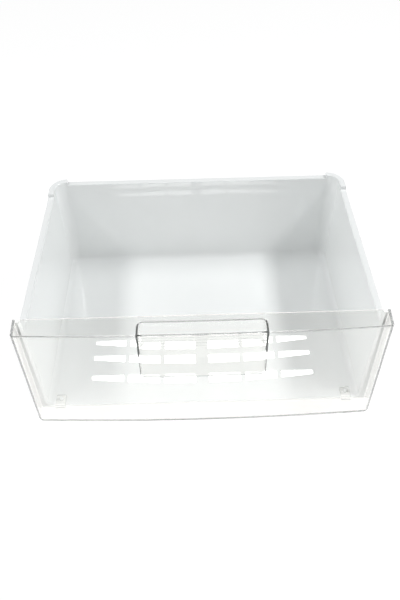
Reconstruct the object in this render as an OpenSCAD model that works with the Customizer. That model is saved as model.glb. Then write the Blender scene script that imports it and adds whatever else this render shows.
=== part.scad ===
// Freezer drawer: a moulded tub with an open front, closed by a clear cover that clips onto it.
// The origin is on the ground under the middle of the drawer, the front faces -Y.

/* [Tub] */
// Outside width across the side rims
rim_w = 434; // [390:1:560]
// Height of the rim above the ground
rim_h = 149; // [110:1:200]
// Width of the flat rim, wall included
rim_band = 8.5; // [6:0.5:14]
// How far the rim's outer edge turns down
rim_drop = 7; // [4:0.5:14]
// Depth of the tub from its mouth to the inside of the rear wall, at the floor
tub_depth = 288; // [200:1:420]
// Thickness of the walls
wall_t = 2.5; // [1.8:0.1:4]
// Thickness of the floor
floor_t = 2.5; // [1.8:0.1:4]
// How far each wall leans outward from the floor to the rim
wall_lean = 2.5; // [1:0.5:6]
// Inside radius of the two rear corners, at the floor
corner_r = 14; // [10:1:30]
// Inside radius between floor and walls
fillet_r = 8; // [4:0.5:9]
// Height of the raised ears on the rim at the rear corners
ear_h = 5; // [2:0.5:12]
// How far each ear runs forward past its corner
ear_run = 12.5; // [4:0.5:40]

/* [Front cover] */
// How far the cover's front corners stand in from the rim's outer edge
cover_inset = 0.8; // [0:0.1:4]
// How far the cover's top stands above the rim
cover_rise = 21; // [12:1:50]
// Depth of the cover's side returns
cover_d = 25.5; // [23:0.5:40]
// How far the front plate bows forward at its middle
cover_bow = 5.5; // [2:0.5:12]
// Thickness of the cover
cover_t = 2.5; // [1.8:0.1:3.5]
// How far each side return spreads outward towards its rear edge
cover_spread = 1.25; // [0.5:0.25:3]
// Outside radius of the cover's upright and bottom corners
cover_r = 4; // [3.6:0.1:8]

/* [Handle pocket] */
// Width of the pocket inside
pocket_w = 145; // [100:1:200]
// Depth of the pocket inside, behind the middle of the plate
pocket_d = 18.5; // [14:0.5:20]
// Height of the upright part of the pocket's rear wall
pocket_upright = 30; // [15:1:50]
// Height of the curved part below it, that runs forward to the plate
pocket_scoop = 45; // [30:1:60]
// Inside radius of the pocket's two rear corners
pocket_corner_r = 5; // [3:0.5:9]
// Inside radius of the pocket's two bottom corners, seen from the front
pocket_foot_r = 9; // [4:0.5:16]
// Number of grip ribs on the back of the plate
grip_ribs = 4; // [2:1:6]
// Distance from one grip rib to the next
grip_pitch = 5; // [3:0.5:8]
// How far a grip rib stands out
grip_rise = 0.8; // [0.4:0.1:1.2]

/* [Floor slots] */
// Half width of the bare strip between the left and right floor slots
slot_centre_gap = 9; // [5:0.5:15]
// Length of a floor slot
slot_len = 44; // [20:1:50]
// Bridge between two slots of one row
slot_bridge = 6; // [4:0.5:12]
// Width of a row of floor slots at its middle
slot_w_mid = 17.7; // [8:0.1:20]
// Width of a row of floor slots at its outer ends
slot_w_end = 8; // [4:0.5:12]
// Distance from the tub's mouth to the rear edge of the first row
slot_first = 48.7; // [40:0.1:80]
// Distance from the first row to the second
slot_pitch_front = 34.7; // [24:0.1:50]
// Distance from the second row to the third
slot_pitch_rear = 28.2; // [24:0.1:50]
// Corner radius of the slots
slot_r = 1.2; // [0.4:0.1:1.9]

/* [Fit] */
// Thickness of the tub's flange round its mouth
mouth_t = 3; // [2:0.1:4]
// Play between the tub's flange and the cover that wraps it
fit = 0.3; // [0.1:0.05:0.6]
// Width of each snap tongue of the cover
tongue_w = 13; // [9:0.5:18]
// How far a snap tongue reaches over the tub's floor
tongue_reach = 16; // [12:0.5:20]
// Thickness of a snap tongue
tongue_t = 2; // [1.2:0.1:3]
// Length of its root on the cover's bottom flange
tongue_root = 4; // [2:0.5:8]
// Diameter of the stud that a snap tongue drops over
stud_d = 5; // [3:0.1:7]
// Height of the stud above the floor
stud_h = 2.8; // [1.5:0.1:4]

/* [Hidden] */
$fn = 96;

PLASTIC = [0.86, 0.89, 0.90];
CLEAR = [0.80, 0.88, 0.90, 0.35];

// Depths are counted from the foremost point of the bowed plate, and centre() shifts them
cover_rear_y = cover_bow + cover_d;
wall_y = cover_rear_y + fit;
mouth_y = wall_y - mouth_t;
rear_y = mouth_y + tub_depth;
overall_d = rear_y + wall_lean + rim_band;
cover_w = rim_w - 2 * cover_inset;
cover_h = rim_h + cover_rise;
past = 1;
sliver = 0.01;

// The wall's inner face: its distance from a rear corner's axis at a height
lean = wall_lean / (rim_h - floor_t);
slant = sqrt(1 + lean * lean);
inner_half_w = rim_w / 2 - rim_band - wall_lean;
axis_x = inner_half_w - corner_r;
axis_y = rear_y - corner_r;
function inner_r(z) = corner_r + lean * (z - floor_t);
function outer_r(z) = inner_r(z) + wall_t;

// The mouth flange, between the cover's side returns and under its top
function return_inner_x(y) = cover_w / 2 - cover_t + cover_spread * (y - cover_bow) / cover_d;
mouth_half_w = return_inner_x(mouth_y) - fit;
mouth_h = cover_h - cover_t - fit;
mouth_r = max(cover_r - cover_t, 0) + fit;

// Circles of the bowed plate, in plan
bow_r = (pow(cover_w / 2, 2) + pow(cover_bow, 2)) / (2 * cover_bow);
bow_steps = 360;

// Heights of the handle pocket
pocket_bend_z = cover_h - pocket_upright;
pocket_foot_z = pocket_bend_z - pocket_scoop;
pocket_rear_y = cover_t + pocket_d;
scoop_r = (pow(pocket_d, 2) + pow(pocket_scoop, 2)) / (2 * pocket_d);

tongue_x = axis_x + corner_r - fillet_r - tongue_w / 2 - past;
stud_y = mouth_y + tongue_reach - tongue_w / 2;
tongue_hole_d = stud_d + 2 * fit;

// Shapes that several modules share

module centre() {
    translate([0, -overall_d / 2, 0]) children();
}

module both_sides() {
    children();
    mirror([1, 0, 0]) children();
}

// Points of a convex outline, given anticlockwise, with each corner rounded to radius r
function unit(v) = v / norm(v);
function rounded_corner(before, corner, after, r, steps) =
    let (
        a = unit(before - corner),
        b = unit(after - corner),
        half = acos(a * b) / 2,
        middle = corner + unit(a + b) * r / sin(half),
        from = atan2(a[0], -a[1]),
        turn = 180 - 2 * half
    )
    [for (i = [0:steps]) middle + r * [cos(from + turn * i / steps), sin(from + turn * i / steps)]];
function rounded_outline(corners, r, steps = 5) =
    let (n = len(corners), at = function (i) corners[(i + n) % n])
    [for (i = [0:n - 1]) each rounded_corner(at(i - 1), at(i), at(i + 1), r, steps)];

// A standing rectangle from x0 to x1 and y0 to y1 with its two lower corners rounded
module footed_rect(x0, x1, y0, y1, r) {
    translate([x0 + r, y0]) square([x1 - x0 - 2 * r, y1 - y0]);
    translate([x0, y0 + r]) square([x1 - x0, y1 - y0 - r]);
    for (x = [x0 + r, x1 - r]) translate([x, y0 + r]) circle(r);
}

// Tub

// Area between a rear corner's axis and a face that leans outward, with a rounded foot:
// start_r is the face's distance from the axis at the height foot_z
module leaning_area(start_r, foot_z, top_z, r) {
    mid_r = start_r + lean * r - r * slant;
    top_r = start_r + lean * (top_z - foot_z);
    intersection() {
        square([top_r + past, top_z]);
        union() {
            polygon([
                [0, foot_z],
                [mid_r, foot_z],
                [mid_r + r / slant, foot_z + r - r * lean / slant],
                [top_r, top_z],
                [0, top_z],
            ]);
            translate([mid_r, foot_z + r]) circle(r);
        }
    }
}

module cavity_area(top_z) {
    leaning_area(corner_r, floor_t, top_z, fillet_r);
}

// Section of the wall, its foot and the turned-down rim
module wall_section() {
    rim_out = inner_r(rim_h) + rim_band;
    difference() {
        leaning_area(outer_r(0), 0, rim_h, fillet_r + wall_t);
        cavity_area(rim_h + past);
    }
    translate([inner_r(rim_h), rim_h - wall_t]) square([rim_band, wall_t]);
    translate([rim_out - wall_t, rim_h - rim_drop]) square([wall_t, rim_drop]);
}

// Section of a raised ear, a solid band on top of the rim
module ear_section() {
    translate([inner_r(rim_h), rim_h - wall_t / 2]) square([rim_band, ear_h + wall_t / 2]);
}

// Carries a section along a side wall from front_y to the corner
module along_side(front_y) {
    translate([axis_x, axis_y, 0])
        rotate([90, 0, 0]) linear_extrude(axis_y - front_y) children();
}

module round_corner() {
    translate([axis_x, axis_y, 0]) rotate_extrude(angle = 90) children();
}

module along_rear() {
    translate([-axis_x, axis_y, 0])
        rotate([90, 0, 90]) linear_extrude(2 * axis_x) children();
}

// Flange round the mouth that the cover wraps: its posts carry the cover's top
module mouth_flange() {
    translate([0, mouth_y + mouth_t, 0]) rotate([90, 0, 0]) linear_extrude(mouth_t)
        difference() {
            footed_rect(-mouth_half_w, mouth_half_w, 0, mouth_h, mouth_r);
            translate([-axis_x, floor_t]) square([2 * axis_x, mouth_h]);
            both_sides() translate([axis_x, 0]) cavity_area(mouth_h + past);
        }
}

// One slot of a floor row: near and far are distances from the middle, row_half is where the
// row ends. The rear edge is straight and the front edge curves towards it
function slot_outline(near, far, row_half) =
    let (w = function (x) slot_w_mid - (slot_w_mid - slot_w_end) * pow(x / row_half, 2))
    rounded_outline([[near, -w(near)], [far, -w(far)], [far, 0], [near, 0]], slot_r);

module floor_slots() {
    step = slot_len + slot_bridge;
    row_half = slot_centre_gap + 3 * slot_len + 2 * slot_bridge;
    second = slot_first + slot_pitch_front;
    for (row_y = [slot_first, second, second + slot_pitch_rear], i = [0:2]) {
        near = slot_centre_gap + i * step;
        both_sides() translate([0, mouth_y + row_y, -past]) linear_extrude(floor_t + 2 * past)
            polygon(slot_outline(near, near + slot_len, row_half));
    }
}

module studs() {
    both_sides() translate([tongue_x, stud_y, floor_t / 2])
        cylinder(d = stud_d, h = floor_t / 2 + stud_h);
}

module tub() {
    color(PLASTIC) centre() {
        difference() {
            union() {
                translate([-axis_x, mouth_y, 0]) cube([2 * axis_x, tub_depth - corner_r, floor_t]);
                both_sides() along_side(wall_y) wall_section();
                both_sides() round_corner() wall_section();
                along_rear() wall_section();
                both_sides() along_side(axis_y - ear_run) ear_section();
                both_sides() round_corner() ear_section();
                mouth_flange();
            }
            floor_slots();
        }
        studs();
    }
}

// Front cover

// Area in plan behind the bowed plate, set in by t from the outside
module cover_plan(t, rear) {
    front_x = cover_w / 2 - t;
    rear_x = front_x + cover_spread * (rear - cover_bow) / cover_d;
    r = max(cover_r - t, sliver);
    intersection() {
        translate([0, bow_r]) circle(bow_r - t, $fn = bow_steps);
        union() {
            polygon([
                [-front_x, cover_bow + r],
                [front_x, cover_bow + r],
                [rear_x, rear],
                [-rear_x, rear],
            ]);
            translate([-front_x + r, 0]) square([2 * (front_x - r), rear]);
            for (x = [-front_x + r, front_x - r]) translate([x, cover_bow + r]) circle(r);
        }
    }
}

// The cover's outside, or its inside set in by t
module cover_block(t, rear) {
    half = cover_w / 2 + cover_spread - t;
    intersection() {
        linear_extrude(cover_h - t) cover_plan(t, rear);
        translate([0, rear, 0]) rotate([90, 0, 0]) linear_extrude(rear)
            footed_rect(-half, half, t, cover_h, max(cover_r - t, sliver));
    }
}

// Side view of the pocket, set out by t from its inside
module pocket_profile(t, top) {
    rear = pocket_rear_y + t;
    translate([0, pocket_bend_z]) square([rear, top - pocket_bend_z]);
    intersection() {
        translate([0, pocket_foot_z - 2 * t]) square([rear, pocket_scoop + 2 * t]);
        translate([pocket_rear_y - scoop_r, pocket_bend_z]) circle(scoop_r + t, $fn = bow_steps);
    }
}

// The pocket set out by t from its inside, behind a plan that is set in by front_t
module pocket_block(t, front_t, top) {
    half = pocket_w / 2 + t;
    foot_z = pocket_foot_z - 2 * t;
    intersection() {
        linear_extrude(top) cover_plan(front_t, cover_rear_y);
        translate([-half, 0, 0]) rotate([90, 0, 90]) linear_extrude(2 * half) pocket_profile(t, top);
        linear_extrude(top)
            mirror([0, 1]) footed_rect(-half, half, -pocket_rear_y - t, 0, pocket_corner_r + t);
        translate([0, pocket_rear_y + t, 0]) rotate([90, 0, 0]) linear_extrude(pocket_rear_y + t)
            footed_rect(-half, half, foot_z, top, pocket_foot_r + 2 * t);
    }
}

// Ribs on the back of the plate that the fingertips pull on
module grip() {
    for (i = [1:grip_ribs])
        translate([0, 0, cover_h - grip_pitch * i - grip_rise / 2]) intersection() {
            translate([-pocket_w / 2, 0, 0]) cube([pocket_w, cover_bow + cover_t + grip_rise, grip_rise]);
            difference() {
                translate([0, bow_r, 0]) cylinder(r = bow_r - cover_t / 2, h = grip_rise, $fn = bow_steps);
                translate([0, bow_r, -past])
                    cylinder(r = bow_r - cover_t - grip_rise, h = grip_rise + 2 * past, $fn = bow_steps);
            }
        }
}

// A tongue that reaches over the tub's floor and drops over its stud
module tongue() {
    root_y = mouth_y - fit - tongue_root;
    low_z = floor_t + fit;
    translate([tongue_x - tongue_w / 2, 0, 0]) {
        translate([0, root_y, cover_t / 2]) cube([tongue_w, tongue_root, low_z + tongue_t - cover_t / 2]);
        difference() {
            translate([0, root_y, low_z]) cube([tongue_w, mouth_y + tongue_reach - root_y, tongue_t]);
            translate([tongue_w / 2, stud_y, low_z - past])
                cylinder(d = tongue_hole_d, h = tongue_t + 2 * past);
        }
    }
}

// Takes away the bottom flange where the tub's floor begins
module floor_cut() {
    front_y = mouth_y - fit;
    end_y = cover_rear_y + past;
    nick = fit / 3;
    front_half = return_inner_x(front_y) + nick;
    end_half = return_inner_x(end_y) + nick;
    translate([0, 0, -past]) linear_extrude(cover_r + 2 * past)
        polygon([[-front_half, front_y], [front_half, front_y], [end_half, end_y], [-end_half, end_y]]);
}

module front_cover() {
    color(CLEAR) centre() {
        difference() {
            union() {
                difference() {
                    cover_block(0, cover_rear_y);
                    cover_block(cover_t, cover_rear_y + past);
                    floor_cut();
                }
                pocket_block(cover_t, cover_t / 2, cover_h);
            }
            pocket_block(0, cover_t, cover_h + past);
        }
        grip();
        both_sides() tongue();
    }
}

tub();
front_cover();
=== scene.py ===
"""Freezer drawer: a pale moulded tub behind a clear bowed cover with a finger pocket.

Sizes are in millimetres, and depths are counted from the foremost point of the bowed plate. place()
turns them into metres in the frame, where the front faces -Y and the origin is on the ground under
the middle of the drawer. Angles are in degrees.
"""
import math

import bmesh
import bpy
from mathutils import Matrix, Vector


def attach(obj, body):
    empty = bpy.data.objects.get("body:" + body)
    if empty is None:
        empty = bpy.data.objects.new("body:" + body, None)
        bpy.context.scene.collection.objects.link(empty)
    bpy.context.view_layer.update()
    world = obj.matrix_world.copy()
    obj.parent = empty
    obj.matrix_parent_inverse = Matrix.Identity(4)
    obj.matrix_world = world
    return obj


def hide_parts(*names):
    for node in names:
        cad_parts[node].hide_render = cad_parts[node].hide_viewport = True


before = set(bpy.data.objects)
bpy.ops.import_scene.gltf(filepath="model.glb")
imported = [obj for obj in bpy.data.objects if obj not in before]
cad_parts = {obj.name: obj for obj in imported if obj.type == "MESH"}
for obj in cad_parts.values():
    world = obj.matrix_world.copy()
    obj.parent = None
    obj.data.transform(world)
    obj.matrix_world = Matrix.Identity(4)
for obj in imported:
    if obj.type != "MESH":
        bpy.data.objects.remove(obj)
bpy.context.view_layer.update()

MM = 0.001
OVERLAP = 1.0  # how far joined bodies run into each other
NICK = 0.05  # how far a cut runs past a face that it would otherwise share
MERGE = 0.005  # points nearer than this become one
SHARP_ANGLE = 32  # edges sharper than this stay sharp in the shading
EASED_ANGLE = 50  # edges sharper than this are rounded at the cover's rear

# Tub
RIM_W, RIM_H = 434, 149
RIM_BAND, RIM_DROP = 8.5, 7
RIM_EDGE_R, LIP_EDGE_R = 1.4, 0.8
TUB_DEPTH = 288
WALL, FLOOR, LEAN = 2.5, 2.5, 2.5
CORNER_R, FILLET_R = 14, 8
FLOOR_EDGE_R = 6  # corner radius of the flat floor, where the foot of the wall begins
EAR_H, EAR_RUN, EAR_EDGE_R = 5, 12.5, 1.6
WALL_Y, MOUTH_T, MOUTH_EDGE_R = 31.3, 3, 0.4
MOUTH_CHAMFER = 2.8  # on the inner edge of the mouth's flange
MOUTH_Y = WALL_Y - MOUTH_T
REAR_Y = MOUTH_Y + TUB_DEPTH
DEPTH = REAR_Y + LEAN + RIM_BAND
AXIS_X = RIM_W / 2 - RIM_BAND - LEAN - CORNER_R
AXIS_Y = REAR_Y - CORNER_R

# Floor slots: the rear edge of each row is counted from the mouth
SLOT_ROWS = (48, 82.7, 110.9)
SLOTS, SLOT_L, SLOT_BRIDGE, SLOT_GAP = 3, 44, 6, 9
SLOT_W_MID, SLOT_W_END = 16.4, 6.8
SLOT_R, SLOT_FLARE = 1.2, 0.35

# Clear cover
COVER_W, COVER_H, COVER_D = 432.4, 170, 25.5
BOW, SPREAD, SKIN = 5.5, 1.25, 2.5
COVER_R, INNER_R = 4, 1.5
FACE_EDGE_R, REAR_EDGE_R = 0.7, 0.4
COVER_REAR = BOW + COVER_D
FIT = 0.3  # gap between cover and tub
BOW_R = ((COVER_W / 2) ** 2 + BOW**2) / (2 * BOW)
PLATE_STEPS = 96

# Handle pocket
POCKET_W, POCKET_D = 145, 18.5
POCKET_BEND, POCKET_FOOT = COVER_H - 30, COVER_H - 75
POCKET_CORNER_R, POCKET_FOOT_R = 5, 4
POCKET_THIN, POCKET_THIN_RUN = 1.8, 10  # what its sides lose below the bend, and over what height
POCKET_STEPS, POCKET_CROWDING = 36, 1.25  # rings of the scoop, which crowd towards its foot
RIBS, RIB_PITCH, RIB_R = 4, 5, 0.55

# Tongues over the floor, and the studs they drop over
TONGUE_W, TONGUE_REACH, TONGUE_T, TONGUE_ROOT = 13, 16, 2, 4
TONGUE_TIP_R = 2
TONGUE_X = AXIS_X + CORNER_R - FILLET_R - TONGUE_W / 2 - 1
STUD_R, STUD_TOP, STUD_EDGE = 2.5, 5.3, 0.4
STUD_Y = MOUTH_Y + TONGUE_REACH - TONGUE_W / 2

# Tub plastic: two tones that cloud into each other, and gloss between two values
CLOUD_STOPS = ((0.3, (0.848, 0.866, 0.864)), (0.7, (0.866, 0.881, 0.877)))
CLOUD_SCALE = 9
GLOSS_MIN, GLOSS_MAX = 0.02, 0.035
GRAIN_SCALE, GRAIN_BUMP = 900, (0.01, 0.0001)  # how strong the bump is, and its depth in metres
TUB_IOR = 1.59
# Shade on the front of the mouth's flange: share of the cover's height, and tone
MOUTH_SHADE = ((0.04, 1.0), (0.8, 0.8), (0.88, 0.45), (1.0, 1.0))
FACING_FRONT = -0.98  # a face whose normal has a Y below this faces the front

# Clear plastic: tone at its surface, then the light that it soaks up in each metre
CLEAR_TONE = (1, 0.996, 0.982, 1)
CLEAR_IOR = 1.5
SOAKING_TONE, SOAKING = (0.49, 0.51, 0.51, 1), 7.5
WAVE_SCALE, WAVE_BUMP = 14, (0.05, 0.001)
# Painted shade: a dark colour mixed into the clear plastic's surface on its outermost upright
# corners and rear ends, and faintly on the tongues
EDGE_PAINTED_SHADE = (0.25, 0.26, 0.26, 1)
EDGE_BAND = 1.2  # how far the painted shade on the upright corners reaches in from the side
REAR_PAINTED_SHADE, TONGUE_PAINTED_SHADE = 0.9, 0.11  # shares of the painted shade on the rear ends and the tongues

# Ground, in metres: it glows, and more so in an oval pool under the slots
GROUND_HALF, GROUND_LEVEL = 6, -0.0006
GROUND_TONE = (0.15, 0.15, 0.15, 1)
GROUND_GLOW, POOL_GLOW = 0.88, 2.7
POOL_INNER, POOL_OUTER = 0.165, 0.21  # half widths where the pool starts to fade and where it ends
POOL_SQUEEZE = 3.4  # width of the pool over its depth

# Light: places and sizes in metres, on the right, and mirrored on the left
AIR, AIR_TONE = 0.325, (0.97, 0.99, 1.0, 1)
LIGHT_AIM = (0, 0, 0.1)
STRIP_PLACE, STRIP_SIZE = (1.09, -0.04, 1.5), (1.4, 0.24)
LOW_PLACE, LOW_SIZE = (1.9, -0.1, 0.75), (0.9, 1.0)
RIGHT_POWERS, LEFT_POWERS = (16.9, 2.8), (11.3, 6)  # watts of the strip and of the low box
LIGHT_BOUNCES = 64  # light runs a long way along inside the clear plastic

# Camera, fitted to the drawer's edges in the photo: metres in the frame, and its three axes
SENSOR, LENS = 36, 37.63
CAMERA_PLACE = (-0.0056, -0.6190, 0.7009)
CAMERA_RIGHT = (0.99959, -0.02419, -0.01535)
CAMERA_UP = (0.02808, 0.72114, 0.69222)
CAMERA_BACK = (-0.00568, -0.69237, 0.72152)


def place(x, y, z):
    """A point given in millimetres from the foremost point of the plate, in metres in the frame."""
    return Vector((x * MM, (y - DEPTH / 2) * MM, z * MM))


# Meshes


def new_object(name, mesh):
    obj = bpy.data.objects.new(name, mesh)
    bpy.context.scene.collection.objects.link(obj)
    return obj


def outward(obj):
    """Merges an object's doubles and turns its faces outwards."""
    bm = bmesh.new()
    bm.from_mesh(obj.data)
    bmesh.ops.remove_doubles(bm, verts=bm.verts, dist=MERGE * MM)
    bmesh.ops.recalc_face_normals(bm, faces=bm.faces)
    bm.to_mesh(obj.data)
    bm.free()
    return obj


def lofted(name, rings):
    """A solid through rings of points that all have the same length, capped at both ends."""
    n = len(rings[0])
    points = [tuple(p) for ring in rings for p in ring]
    faces = []
    for start in range(0, len(points) - n, n):
        for i in range(n):
            j = (i + 1) % n
            faces.append((start + i, start + j, start + n + j, start + n + i))
    faces.append(tuple(range(n)))
    faces.append(tuple(range(len(points) - n, len(points))))
    mesh = bpy.data.meshes.new(name)
    mesh.from_pydata(points, [], faces)
    return outward(new_object(name, mesh))


def upright(name, outline, levels):
    """A solid that has the same outline in plan at each of its levels."""
    return lofted(name, [[place(x, y, z) for x, y in outline] for z in levels])


def line_object(name, points, closed):
    """A line of edges through points, for geometry nodes to read as a curve."""
    n = len(points)
    edges = [(i, (i + 1) % n) for i in range(n if closed else n - 1)]
    mesh = bpy.data.meshes.new(name)
    mesh.from_pydata([tuple(p) for p in points], edges, [])
    return new_object(name, mesh)


def scrap(obj):
    mesh = obj.data
    bpy.data.objects.remove(obj)
    bpy.data.meshes.remove(mesh)


def evaluated(obj):
    """Turns an object's modifiers into its plain mesh."""
    graph = bpy.context.evaluated_depsgraph_get()
    graph.update()
    mesh = bpy.data.meshes.new_from_object(obj.evaluated_get(graph))
    old = obj.data
    obj.modifiers.clear()
    obj.data = mesh
    bpy.data.meshes.remove(old)
    return obj


def combine(obj, other, how):
    """Adds the other solid to this one, or cuts it away, and deletes it."""
    mod = obj.modifiers.new(how, "BOOLEAN")
    mod.operation = how
    mod.solver = "MANIFOLD"
    mod.object = other
    evaluated(obj)
    scrap(other)
    return obj


def eased(obj, width):
    """Rounds an object's sharp edges."""
    mod = obj.modifiers.new("eased", "BEVEL")
    mod.width = width * MM
    mod.segments = 3
    mod.limit_method = "ANGLE"
    mod.angle_limit = math.radians(EASED_ANGLE)
    return evaluated(obj)


def moulded(obj):
    """Smooth faces with sharp edges left sharp, and flat faces shaded flat."""
    obj.data.shade_smooth()
    obj.data.set_sharp_from_angle(angle=math.radians(SHARP_ANGLE))
    mod = obj.modifiers.new("even_normals", "WEIGHTED_NORMAL")
    mod.keep_sharp = True
    return evaluated(obj)


def mark_faces(obj, name, share):
    """Keeps a share for each face, worked out from its middle, counted as place() does, and its
    normal."""
    mark = obj.data.attributes.new(name, "FLOAT", "FACE")
    for face in obj.data.polygons:
        x, y, z = face.center / MM
        mark.data[face.index].value = share(x, y + DEPTH / 2, z, face.normal)


# Outlines


def arc(cx, cy, r, start, end, steps):
    """Points of an arc."""
    angles = [math.radians(start + (end - start) * i / steps) for i in range(steps + 1)]
    return [(cx + r * math.cos(a), cy + r * math.sin(a)) for a in angles]


def circle(cx, cy, r, points):
    return arc(cx, cy, r, 0, 360 - 360 / points, points - 1)


def rounded_polygon(corners, steps=5):
    """An outline of corners (x, y, radius), each rounded to its radius."""
    out = []
    n = len(corners)
    for i, (x, y, r) in enumerate(corners):
        here = Vector((x, y))
        before = (Vector(corners[i - 1][:2]) - here).normalized()
        after = (Vector(corners[(i + 1) % n][:2]) - here).normalized()
        if r <= 0:
            out.append((x, y))
            continue
        half = before.angle(after) / 2
        middle = here + (before + after).normalized() * (r / math.sin(half))
        first = before * (r / math.tan(half)) + here - middle
        turn = math.pi - 2 * half
        if before.x * after.y - before.y * after.x > 0:
            turn = -turn
        start = math.atan2(first.y, first.x)
        for k in range(steps + 1):
            a = start + turn * k / steps
            out.append((middle.x + r * math.cos(a), middle.y + r * math.sin(a)))
    return out


def rectangle(x0, x1, y0, y1, near_r=0.0, far_r=0.0, steps=5):
    """Outline of a rectangle, with one corner radius at y0 and another at y1."""
    corners = [(x0, y0, near_r), (x1, y0, near_r), (x1, y1, far_r), (x0, y1, far_r)]
    return rounded_polygon(corners, steps)


# Node trees


def feed(tree, sockets, values):
    """Gives each named socket its value, or a link where the value is itself a socket."""
    for key, value in values.items():
        if isinstance(value, bpy.types.NodeSocket):
            tree.links.new(value, sockets[key])
        else:
            sockets[key].default_value = value


def add(tree, kind, inputs=None, **settings):
    """Adds a node with its settings and its inputs."""
    node = tree.nodes.new(kind)
    for key, value in settings.items():
        setattr(node, key, value)
    feed(tree, node.inputs, inputs or {})
    return node


def calc(tree, operation, a, b=0.0):
    return add(tree, "ShaderNodeMath", {0: a, 1: b}, operation=operation).outputs[0]


def along(tree, axis, value):
    """A vector along X, Y or Z."""
    return add(tree, "ShaderNodeCombineXYZ", {axis: value}).outputs[0]


def geometry_tree(name, sockets):
    """A geometry nodes tree with its named inputs. Returns the tree and its input sockets."""
    tree = bpy.data.node_groups.new(name, "GeometryNodeTree")
    tree.interface.new_socket("Geometry", in_out="INPUT", socket_type="NodeSocketGeometry")
    for label, kind in sockets.items():
        tree.interface.new_socket(label, in_out="INPUT", socket_type="NodeSocket" + kind)
    tree.interface.new_socket("Finish", in_out="INPUT", socket_type="NodeSocketMaterial")
    tree.interface.new_socket("Geometry", in_out="OUTPUT", socket_type="NodeSocketGeometry")
    return tree, tree.nodes.new("NodeGroupInput").outputs


def finish_tree(tree, shape, given):
    """Ends a tree: instances made real, and the material set."""
    real = add(tree, "GeometryNodeRealizeInstances", {"Geometry": shape})
    inputs = {"Geometry": real.outputs[0], "Material": given["Finish"]}
    shown = add(tree, "GeometryNodeSetMaterial", inputs)
    add(tree, "NodeGroupOutput", {"Geometry": shown.outputs[0]})
    return tree


def grown(obj, tree, values):
    """Runs a tree on an object with its named inputs set, and keeps the plain mesh."""
    mod = obj.modifiers.new(tree.name, "NODES")
    mod.node_group = tree
    for item in tree.interface.items_tree:
        if item.in_out == "INPUT" and item.name in values:
            mod[item.identifier] = values[item.name]
    return outward(evaluated(obj))


def repeated(tree, shape, count, start, step):
    """Copies of a shape in a line, made real."""
    inputs = {"Count": count, "Start Location": start, "Offset": step}
    line = add(tree, "GeometryNodeMeshLine", inputs)
    inputs = {"Points": line.outputs[0], "Instance": shape}
    copies = add(tree, "GeometryNodeInstanceOnPoints", inputs)
    return add(tree, "GeometryNodeRealizeInstances", {"Geometry": copies.outputs[0]}).outputs[0]


def position(tree):
    """X, Y and Z of each point."""
    at = add(tree, "GeometryNodeInputPosition").outputs[0]
    return add(tree, "ShaderNodeSeparateXYZ", {0: at}).outputs


def moved(tree, shape, offset):
    """A shape with each of its points moved by an offset of its own."""
    inputs = {"Geometry": shape, "Offset": offset}
    return add(tree, "GeometryNodeSetPosition", inputs).outputs[0]


def sweep_tree():
    """Carries the outline of the object Section along a level path, its X outwards, its Y down."""
    tree, given = geometry_tree("swept_section", {"Section": "Object"})
    path = add(tree, "GeometryNodeMeshToCurve", {"Mesh": given["Geometry"]})
    level = add(tree, "GeometryNodeSetCurveNormal", {"Curve": path.outputs[0]}, mode="Z_UP")
    section = add(tree, "GeometryNodeObjectInfo", {"Object": given["Section"]})
    outline = add(tree, "GeometryNodeMeshToCurve", {"Mesh": section.outputs["Geometry"]})
    inputs = {"Curve": level.outputs[0], "Profile Curve": outline.outputs[0], "Fill Caps": True}
    swept = add(tree, "GeometryNodeCurveToMesh", inputs)
    return finish_tree(tree, swept.outputs[0], given)


def slot_row_tree():
    """A row of slots on both sides of the middle, from one slot with its rear edge at Y 0. Each
    front edge moves back as the row gets narrower towards its ends."""
    sizes = ("First middle", "Pitch", "Row half", "Width at middle", "Width at ends", "Rear edge")
    sockets = {"Slots": "Int"}
    sockets.update({label: "Float" for label in sizes})
    tree, given = geometry_tree("slot_row", sockets)
    start, step = along(tree, "X", given["First middle"]), along(tree, "X", given["Pitch"])
    row = repeated(tree, given["Geometry"], given["Slots"], start, step)

    at = position(tree)
    share = calc(tree, "POWER", calc(tree, "DIVIDE", at["X"], given["Row half"]), 2)
    taper = calc(tree, "SUBTRACT", given["Width at middle"], given["Width at ends"])
    middle = calc(tree, "MULTIPLY", given["Width at middle"], -0.5)
    in_front = calc(tree, "LESS_THAN", at["Y"], middle)
    shift = calc(tree, "MULTIPLY", calc(tree, "MULTIPLY", share, taper), in_front)
    row = moved(tree, row, along(tree, "Y", shift))

    other = add(tree, "GeometryNodeTransform", {"Geometry": row, "Scale": (-1, 1, 1)})
    other = add(tree, "GeometryNodeFlipFaces", {"Mesh": other.outputs[0]})
    both = add(tree, "GeometryNodeJoinGeometry", {"Geometry": row})
    tree.links.new(other.outputs[0], both.inputs[0])
    inputs = {"Geometry": both.outputs[0], "Translation": along(tree, "Y", given["Rear edge"])}
    placed = add(tree, "GeometryNodeTransform", inputs)
    return finish_tree(tree, placed.outputs[0], given)


def rib_tree():
    """Ribs one under the other from one straight rib, all bent to the bow of the plate."""
    sockets = {"Ribs": "Int", "First height": "Float", "Pitch": "Float", "Bow radius": "Float"}
    tree, given = geometry_tree("grip_ribs", sockets)
    start = along(tree, "Z", given["First height"])
    step = along(tree, "Z", calc(tree, "MULTIPLY", given["Pitch"], -1))
    ribs = repeated(tree, given["Geometry"], given["Ribs"], start, step)

    radius_2 = calc(tree, "POWER", given["Bow radius"], 2)
    depth_2 = calc(tree, "SUBTRACT", radius_2, calc(tree, "POWER", position(tree)["X"], 2))
    bow = calc(tree, "SUBTRACT", given["Bow radius"], calc(tree, "SQRT", depth_2))
    return finish_tree(tree, moved(tree, ribs, along(tree, "Y", bow)), given)


# Tub


def wall_r(z):
    """Distance of the wall's inner face from a corner's axis at a height."""
    return CORNER_R + LEAN * (z - FLOOR) / (RIM_H - FLOOR)


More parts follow.
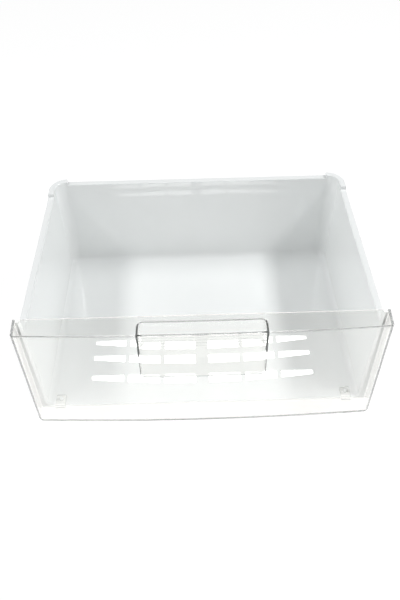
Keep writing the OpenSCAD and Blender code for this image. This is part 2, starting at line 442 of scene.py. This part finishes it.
def wall_section():
    """Section of floor edge, wall, rim and turned-down lip, as distance from the corners' axes and
    height."""
    top = wall_r(RIM_H)
    out = top + RIM_BAND
    lip = out - WALL
    under = RIM_H - WALL
    start = FLOOR_EDGE_R - OVERLAP
    corners = [
        (start, 0, 0),
        (wall_r(0) + WALL, 0, FILLET_R + WALL),
        (wall_r(under) + WALL, under, LIP_EDGE_R),
        (lip, under, LIP_EDGE_R),
        (lip, RIM_H - RIM_DROP, LIP_EDGE_R),
        (out, RIM_H - RIM_DROP, LIP_EDGE_R),
        (out, RIM_H, RIM_EDGE_R),
        (top, RIM_H, RIM_EDGE_R),
        (wall_r(FLOOR), FLOOR, FILLET_R),
        (start, FLOOR, 0),
    ]
    return rounded_polygon(corners, steps=6)


def ear_section():
    """Section of a raised ear on top of the rim."""
    inside = wall_r(RIM_H) + NICK
    outside = inside + RIM_BAND - 2 * NICK
    return rectangle(inside, outside, RIM_H - WALL / 2, RIM_H + EAR_H, far_r=EAR_EDGE_R)


def corner_path(side, front_y):
    """Edge of the flat floor along a side from front_y and round the rear corner, right to left."""
    bend = arc(AXIS_X, AXIS_Y, FLOOR_EDGE_R, 0, 90, 16)
    half = [(AXIS_X + FLOOR_EDGE_R, front_y)] + bend
    return half if side > 0 else [(-x, y) for x, y in half][::-1]


def swept(name, tree, path, section, finish):
    """Carries a section, given as distance from the corners' axes and height, along a path."""
    line = line_object(name, [place(x, y, 0) for x, y in path], closed=False)
    outline = [Vector((r - FLOOR_EDGE_R, -z, 0)) * MM for r, z in section]
    template = line_object(name + "_section", outline, closed=True)
    grown(line, tree, {"Section": template, "Finish": finish})
    scrap(template)
    return line


def tub_floor():
    """The flat floor, from within the mouth's flange to the feet of the walls."""
    grow = FLOOR_EDGE_R + OVERLAP
    half = AXIS_X + grow
    outline = rectangle(-half, half, WALL_Y - OVERLAP, AXIS_Y + grow, far_r=grow, steps=12)
    return upright("floor", outline, (0, FLOOR))


def mouth_outline(ease, chamfer):
    """The mouth's flange seen from in front, drawn in by ease: two posts on a sill. The chamfer
    draws the posts in further, on their inner edge."""
    half = COVER_W / 2 - SKIN + SPREAD * (MOUTH_Y - BOW) / COVER_D - FIT - ease
    top = COVER_H - SKIN - FIT - ease
    foot = COVER_R - SKIN + FIT
    inner = wall_r(top) + AXIS_X + ease + chamfer
    sill_x, sill_z = AXIS_X + wall_r(FLOOR) + ease + chamfer, FLOOR - ease
    right = [
        (half, ease, foot),
        (half, top, MOUTH_EDGE_R),
        (inner, top, MOUTH_EDGE_R),
        (sill_x, sill_z, FILLET_R),
    ]
    left = [(-x, z, r) for x, z, r in right][::-1]
    return rounded_polygon(right + left, steps=6)


def mouth_flange():
    """The flange round the open front, with a post at each side that carries the cover's top."""
    rings = []
    steps = 4
    for k in range(steps + 1):
        a = math.radians(90 * k / steps)
        y = MOUTH_Y + MOUTH_EDGE_R * (1 - math.sin(a))
        ease = MOUTH_EDGE_R * (1 - math.cos(a))
        chamfer = MOUTH_CHAMFER + MOUTH_Y - y
        rings.insert(0, [place(x, y, z) for x, z in mouth_outline(ease, chamfer)])
    rings.append([place(x, WALL_Y, z) for x, z in mouth_outline(0, 0)])
    return lofted("mouth", rings)


def slot_cutter():
    """A cutter for one slot, its rear edge at Y 0. It flares at the floor's faces, where the edges
    of the slot are eased."""
    rings = []
    levels = [(-OVERLAP, SLOT_FLARE), (0, SLOT_FLARE), (SLOT_FLARE, 0)]
    levels += [(FLOOR - z, flare) for z, flare in levels[::-1]]
    for z, flare in levels:
        half, r = SLOT_L / 2 + flare, SLOT_R + flare
        outline = rectangle(-half, half, -SLOT_W_MID - flare, flare, r, r)
        rings.append([Vector((x, y, z)) * MM for x, y in outline])
    return lofted("slot", rings)


def cut_slots(tub, finish):
    tree = slot_row_tree()
    row_end = SLOT_GAP + SLOTS * SLOT_L + (SLOTS - 1) * SLOT_BRIDGE
    for rear in SLOT_ROWS:
        sizes = {
            "Slots": SLOTS,
            "First middle": (SLOT_GAP + SLOT_L / 2) * MM,
            "Pitch": (SLOT_L + SLOT_BRIDGE) * MM,
            "Row half": row_end * MM,
            "Width at middle": SLOT_W_MID * MM,
            "Width at ends": SLOT_W_END * MM,
            "Rear edge": place(0, MOUTH_Y + rear, 0).y,
            "Finish": finish,
        }
        combine(tub, grown(slot_cutter(), tree, sizes), "DIFFERENCE")


def stud(side):
    """A stud that a tongue drops over."""
    rings = []
    levels = ((OVERLAP, STUD_R), (STUD_TOP - STUD_EDGE, STUD_R), (STUD_TOP, STUD_R - STUD_EDGE))
    for z, r in levels:
        rings.append([place(x, y, z) for x, y in circle(side * TONGUE_X, STUD_Y, r, 48)])
    return lofted("stud", rings)


def mouth_share(x, y, z, normal):
    """Marks the front of the mouth's flange, which lies in the shade of the cover's sides."""
    return 1.0 if y < MOUTH_Y + NICK and normal.y < FACING_FRONT else 0.0


def make_tub(finish):
    sweep = sweep_tree()
    path = corner_path(1, WALL_Y - NICK) + corner_path(-1, WALL_Y - NICK)
    tub = swept("tub_moulding", sweep, path, wall_section(), finish)
    combine(tub, tub_floor(), "UNION")
    combine(tub, mouth_flange(), "UNION")
    for side in (1, -1):
        path = corner_path(side, AXIS_Y - EAR_RUN)
        combine(tub, swept("ear", sweep, path, ear_section(), finish), "UNION")
        combine(tub, stud(side), "UNION")
    cut_slots(tub, finish)
    moulded(tub)
    mark_faces(tub, "mouth", mouth_share)
    return tub


# Clear cover


def plate_y(x, inset=0.0):
    """Depth of the bowed plate's face at a distance from the middle, set in by inset."""
    return BOW_R - math.sqrt((BOW_R - inset) ** 2 - x * x)


def spread_half(y):
    """Half of the cover's width at a depth behind the plate, where its sides spread to the rear."""
    return COVER_W / 2 + SPREAD * (y - BOW) / COVER_D


def cover_outline(inset, rear, corner, pinch):
    """The cover in plan: bowed front, rounded front corners, sides that spread to the rear. The
    pinch narrows it between its bottom corners."""
    half = COVER_W / 2 - inset - pinch
    reach = half - corner
    xs = [reach * (2 * i / PLATE_STEPS - 1) for i in range(PLATE_STEPS + 1)]
    front = [(x, plate_y(x, inset)) for x in xs]
    # At -90 the bend would double the last point of the plate
    bend = arc(reach, plate_y(reach, inset) + corner, corner, -87, 0, 8)
    end = [(half + SPREAD * (rear - BOW) / COVER_D, rear)]
    side = bend + end
    return front + side + [(-x, y) for x, y in side][::-1]


def rounding(r, up):
    """How far a quarter-round edge of radius r draws in at a height above its foot."""
    return r - math.sqrt(r * r - (r - up) ** 2) if up < r else 0.0


def cover_solid(name, inset, rear, corner, edge):
    """The cover's outside or inside as a solid. Its bottom corners are rounded like the upright
    ones, and its top and bottom edges by edge."""
    ups = [edge * (1 - math.cos(math.radians(a))) for a in (0, 22.5, 45, 67.5, 90)]
    foot = [corner * (1 - math.cos(math.radians(a))) for a in (10, 25, 40, 55, 70, 90)]
    low = sorted({round(up, 3) for up in ups + foot})
    height = COVER_H - 2 * inset
    rings = []
    for up in low + [height - up for up in ups[::-1]]:
        ease = rounding(edge, min(up, height - up))
        pinch = max(rounding(corner, up) - ease, 0)
        outline = cover_outline(inset + ease, rear, corner, pinch)
        rings.append([place(x, y, inset + up) for x, y in outline])
    return lofted(name, rings)


def pocket_depth(z, grow):
    """How deep the pocket is behind the plate at a height: upright, then scooped to the plate."""
    scoop = POCKET_BEND - POCKET_FOOT
    r = (POCKET_D**2 + scoop**2) / (2 * POCKET_D)
    drop = max(POCKET_BEND - z, 0)
    return POCKET_D - r + math.sqrt(max((r + grow) ** 2 - drop**2, 0))


def pocket_solid(name, grow, front, low, top):
    """The finger pocket, set out by grow from its inside: a rounded box with a scooped foot. Only
    the inside gets wider below the bend, so the walls get thinner there."""
    foot_r = POCKET_FOOT_R + grow
    scoop = POCKET_BEND - low
    shares = [i / POCKET_STEPS for i in range(POCKET_STEPS + 1)]
    heights = [low + scoop * share**POCKET_CROWDING for share in shares]
    heights += [POCKET_BEND + (top - POCKET_BEND) * share for share in (0.34, 0.67, 1.0)]
    rings = []
    for z in heights:
        # The foot keeps some depth, so that its ring doesn't fold onto itself
        rear = max(SKIN + pocket_depth(z, grow), front + 6 * NICK)
        below = min(max(POCKET_BEND - z, 0) / POCKET_THIN_RUN, 1)
        half = POCKET_W / 2 + (grow if grow else below * POCKET_THIN)
        side = half - rounding(foot_r, z - low)
        r = min(POCKET_CORNER_R + grow, (rear - front) * 0.6)
        xs = [side * (k / 12 - 1) for k in range(25)]
        bend = arc(side - r, rear - r, r, 0, 90, 8)
        across = [(x * (side - r) / side, rear) for x in xs[1:-1]][::-1]
        ring = [(x, front) for x in xs] + bend + across + [(-x, y) for x, y in bend][::-1]
        rings.append([place(x, plate_y(x) + y, z) for x, y in ring])
    return lofted(name, rings)


def add_ribs(cover, finish):
    """Half-round grip ribs on the back of the plate, inside the pocket. The rib they are copied
    from is straight, and its root lies within the plate."""
    half = POCKET_W / 2 + SKIN / 4
    root = (SKIN - RIB_R / 2) / 2
    section = arc(0, 0, RIB_R, -80, 80, 6) + [(-root, RIB_R), (-root, -RIB_R)]
    rings = []
    for k in range(33):
        x = half * (k / 16 - 1)
        rings.append([place(x, SKIN - 3 * NICK + y, z) for y, z in section])
    sizes = {
        "Ribs": RIBS,
        "First height": (COVER_H - RIB_PITCH) * MM,
        "Pitch": RIB_PITCH * MM,
        "Bow radius": (BOW_R - SKIN) * MM,
        "Finish": finish,
    }
    combine(cover, grown(lofted("rib", rings), rib_tree(), sizes), "UNION")


def slab(name, x0, x1, y0, y1, z0, z1, tip_r=0.0):
    """A block whose two rear corners may be rounded."""
    return upright(name, rectangle(x0, x1, y0, y1, far_r=tip_r), (z0, z1))


def tongue(side):
    """A tongue over the tub's floor with a hole for the stud."""
    x0, x1 = sorted((side * (TONGUE_X - TONGUE_W / 2), side * (TONGUE_X + TONGUE_W / 2)))
    root_y = MOUTH_Y - FIT - TONGUE_ROOT
    low = FLOOR + FIT
    high = low + TONGUE_T
    made = slab("tongue", x0, x1, root_y, MOUTH_Y + TONGUE_REACH, low, high, TONGUE_TIP_R)
    root_end = root_y + TONGUE_ROOT - 2 * NICK
    root = slab("root", x0, x1, root_y - NICK, root_end, SKIN / 2, low + TONGUE_T / 2)
    combine(made, root, "UNION")
    rim = circle(side * TONGUE_X, STUD_Y, STUD_R + FIT, 24)
    return combine(made, upright("hole", rim, (low - OVERLAP, high + OVERLAP)), "DIFFERENCE")


def painted_shade_share(x, y, z, normal):
    """Marks where shade is painted into the clear plastic: the outermost faces of the upright
    corners and the rear ends of the sides, which look darker than the rest because light runs along
    inside them, and faintly the tongues, to dim them."""
    if abs(x) > spread_half(y) - EDGE_BAND and y < BOW + COVER_R:
        return 1.0
    if y > COVER_REAR - REAR_EDGE_R and z > 2 * COVER_R:
        return REAR_PAINTED_SHADE
    if y > MOUTH_Y - FIT and z < 2 * COVER_R and abs(x) < TONGUE_X + TONGUE_W:
        return TONGUE_PAINTED_SHADE
    return 0.0


def make_cover(finish):
    cover = cover_solid("cover_moulding", 0, COVER_REAR, COVER_R, FACE_EDGE_R)
    inside = cover_solid("inside", SKIN, COVER_REAR + OVERLAP, INNER_R, INNER_R / 3)
    combine(cover, inside, "DIFFERENCE")
    eased(cover, REAR_EDGE_R)
    half = COVER_W / 2 - SKIN + SPREAD
    rear = COVER_REAR + OVERLAP
    sill = slab("sill", -half, half, MOUTH_Y - FIT, rear, -OVERLAP, SKIN + OVERLAP)
    combine(cover, sill, "DIFFERENCE")
    foot = POCKET_FOOT - SKIN
    combine(cover, pocket_solid("pocket", SKIN, SKIN / 2, foot, COVER_H - OVERLAP), "UNION")
    inside = pocket_solid("inside", 0, SKIN - NICK, POCKET_FOOT, COVER_H + OVERLAP)
    combine(cover, inside, "DIFFERENCE")
    add_ribs(cover, finish)
    for side in (1, -1):
        combine(cover, tongue(side), "UNION")
    moulded(cover)
    # Marks the faces that get painted shade
    mark_faces(cover, "edge", painted_shade_share)
    return cover


# Materials


def node_material(name):
    """A material, its tree, and the inputs of its Principled BSDF."""
    mat = bpy.data.materials.new(name)
    mat.use_nodes = True
    tree = mat.node_tree
    return mat, tree, tree.nodes["Principled BSDF"].inputs


def object_place(tree):
    return add(tree, "ShaderNodeTexCoord").outputs["Object"]


def noise(tree, at, scale, detail):
    inputs = {"Vector": at, "Scale": scale, "Detail": detail}
    return add(tree, "ShaderNodeTexNoise", inputs).outputs["Fac"]


def bumps(tree, height, strength, distance):
    """A normal bumped by a height."""
    inputs = {"Height": height, "Strength": strength, "Distance": distance}
    return add(tree, "ShaderNodeBump", inputs).outputs["Normal"]


def ramp(tree, value, stops):
    """A colour ramp through stops, given as place and red, green and blue."""
    node = add(tree, "ShaderNodeValToRGB", {"Fac": value})
    elements = node.color_ramp.elements
    while len(elements) < len(stops):
        elements.new(1.0)
    for element, (at, tone) in zip(elements, stops):
        element.position = at
        element.color = (*tone, 1)
    return node.outputs["Color"]


def mix(tree, share, a, b, blend="MIX"):
    """A mix of two colours, which a Mix node takes as inputs 6 and 7 and gives as output 2."""
    inputs = {"Factor": share, 6: a, 7: b}
    return add(tree, "ShaderNodeMix", inputs, data_type="RGBA", blend_type=blend).outputs[2]


def face_mark(tree, name):
    return add(tree, "ShaderNodeAttribute", attribute_name=name).outputs["Fac"]


def tub_plastic():
    """Pale glossy plastic: faint clouding in the colour, a fine grain, and shade on the front of
    the mouth's flange, because the cover casts none."""
    mat, tree, plastic = node_material("tub_plastic")
    at = object_place(tree)
    clouds = noise(tree, at, CLOUD_SCALE, 3)
    up = add(tree, "ShaderNodeSeparateXYZ", {0: at}).outputs["Z"]
    up = calc(tree, "DIVIDE", up, COVER_H * MM)
    shade = ramp(tree, up, [(stop, (tone, tone, tone)) for stop, tone in MOUTH_SHADE])
    pale = ramp(tree, clouds, CLOUD_STOPS)
    inputs = {"Value": clouds, "To Min": GLOSS_MIN, "To Max": GLOSS_MAX}
    gloss = add(tree, "ShaderNodeMapRange", inputs).outputs["Result"]
    look = {
        "Base Color": mix(tree, face_mark(tree, "mouth"), pale, shade, "MULTIPLY"),
        "Roughness": gloss,
        "Normal": bumps(tree, noise(tree, at, GRAIN_SCALE, 2), *GRAIN_BUMP),
        "IOR": TUB_IOR,
    }
    feed(tree, plastic, look)
    return mat


def clear_plastic():
    """Clear polished plastic with the slow waves that a mould leaves in it, and painted shade mixed
    into its colour on the marked corners, rear ends and tongues.
    """
    mat, tree, plastic = node_material("clear_plastic")
    waves = noise(tree, object_place(tree), WAVE_SCALE, 1)
    look = {
        # Painted shade on the marked corners, rear ends and tongues
        "Base Color": mix(tree, face_mark(tree, "edge"), CLEAR_TONE, EDGE_PAINTED_SHADE),
        "Roughness": 0.0,
        "Normal": bumps(tree, waves, *WAVE_BUMP),
        "IOR": CLEAR_IOR,
        "Transmission Weight": 1.0,
    }
    feed(tree, plastic, look)
    depth = add(tree, "ShaderNodeVolumeAbsorption", {"Color": SOAKING_TONE, "Density": SOAKING})
    feed(tree, tree.nodes["Material Output"].inputs, {"Volume": depth.outputs["Volume"]})
    return mat


def ground_material():
    """Pale ground with a glow of its own, stronger under the slots of the floor."""
    mat, tree, ground = node_material("pale_ground")
    middle = place(0, MOUTH_Y + (SLOT_ROWS[0] + SLOT_ROWS[-1] - SLOT_W_MID) / 2, 0)
    inputs = {
        "Vector": object_place(tree),
        "Location": (0, -POOL_SQUEEZE * middle.y, 0),
        "Scale": (1, POOL_SQUEEZE, 1),
    }
    at = add(tree, "ShaderNodeMapping", inputs).outputs[0]
    reach = add(tree, "ShaderNodeVectorMath", {0: at}, operation="LENGTH").outputs["Value"]
    inputs = {
        "Value": reach,
        "From Min": POOL_INNER,
        "From Max": POOL_OUTER,
        "To Min": POOL_GLOW,
        "To Max": GROUND_GLOW,
    }
    glow = add(tree, "ShaderNodeMapRange", inputs, interpolation_type="SMOOTHSTEP")
    look = {
        "Base Color": GROUND_TONE,
        "Roughness": 0.8,
        "Specular IOR Level": 0.1,
        "Emission Color": (1, 1, 1, 1),
        "Emission Strength": glow.outputs["Result"],
    }
    feed(tree, ground, look)
    return mat


# Stage, light and camera


def ground():
    half = GROUND_HALF
    outline = ((-half, -half), (half, -half), (half, half), (-half, half))
    mesh = bpy.data.meshes.new("ground")
    mesh.from_pydata([(x, y, GROUND_LEVEL) for x, y in outline], [], [(0, 1, 2, 3)])
    obj = new_object("ground", mesh)
    mesh.materials.append(ground_material())


def studio_air():
    """Dim light from all round."""
    world = bpy.data.worlds.new("studio")
    bpy.context.scene.world = world
    world.use_nodes = True
    inputs = world.node_tree.nodes["Background"].inputs
    feed(world.node_tree, inputs, {"Color": AIR_TONE, "Strength": AIR})


def soft_box(name, side, middle, size, power):
    """A soft box aimed at the drawer. Clear plastic doesn't show it, because its light already
    passes the cover, which casts no shadow."""
    light = bpy.data.lights.new(name, "AREA")
    light.shape = "RECTANGLE"
    light.size, light.size_y = size
    light.energy = power
    obj = new_object(name, light)
    obj.location = (side * middle[0], middle[1], middle[2])
    obj.visible_transmission = False
    aim = Vector(LIGHT_AIM) - obj.location
    obj.rotation_euler = aim.to_track_quat("-Z", "Y").to_euler()


def lights():
    """Two long soft boxes beside the drawer, parallel to its sides, light the floor past the
    shadows of the side walls. A low one behind each fills the walls."""
    for name, side, powers in (("right", 1, RIGHT_POWERS), ("left", -1, LEFT_POWERS)):
        soft_box(name + "_strip", side, STRIP_PLACE, STRIP_SIZE, powers[0])
        soft_box(name + "_low", side, LOW_PLACE, LOW_SIZE, powers[1])


def photo_camera():
    data = bpy.data.cameras.new("camera")
    data.sensor_width = SENSOR
    data.lens = LENS
    camera = new_object("camera", data)
    turn = Matrix((CAMERA_RIGHT, CAMERA_UP, CAMERA_BACK)).transposed()
    camera.matrix_world = Matrix.Translation(CAMERA_PLACE) @ turn.to_4x4()
    bpy.context.scene.camera = camera


def light_paths():
    """Lets light run as long as it does in the clear plastic."""
    cycles = bpy.context.scene.cycles
    cycles.max_bounces = LIGHT_BOUNCES
    cycles.transmission_bounces = LIGHT_BOUNCES
    cycles.glossy_bounces = LIGHT_BOUNCES


def dress(obj, material, node):
    obj.data.materials.clear()
    obj.data.materials.append(material)
    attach(obj, "root")
    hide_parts(node)


photo_camera()
pale, clear = tub_plastic(), clear_plastic()
tub = make_tub(pale)
dress(tub, pale, "tub")
cover = make_cover(clear)
dress(cover, clear, "front_cover")
cover.visible_shadow = False
ground()
studio_air()
lights()
light_paths()
bpy.context.scene.view_settings.view_transform = "Standard"
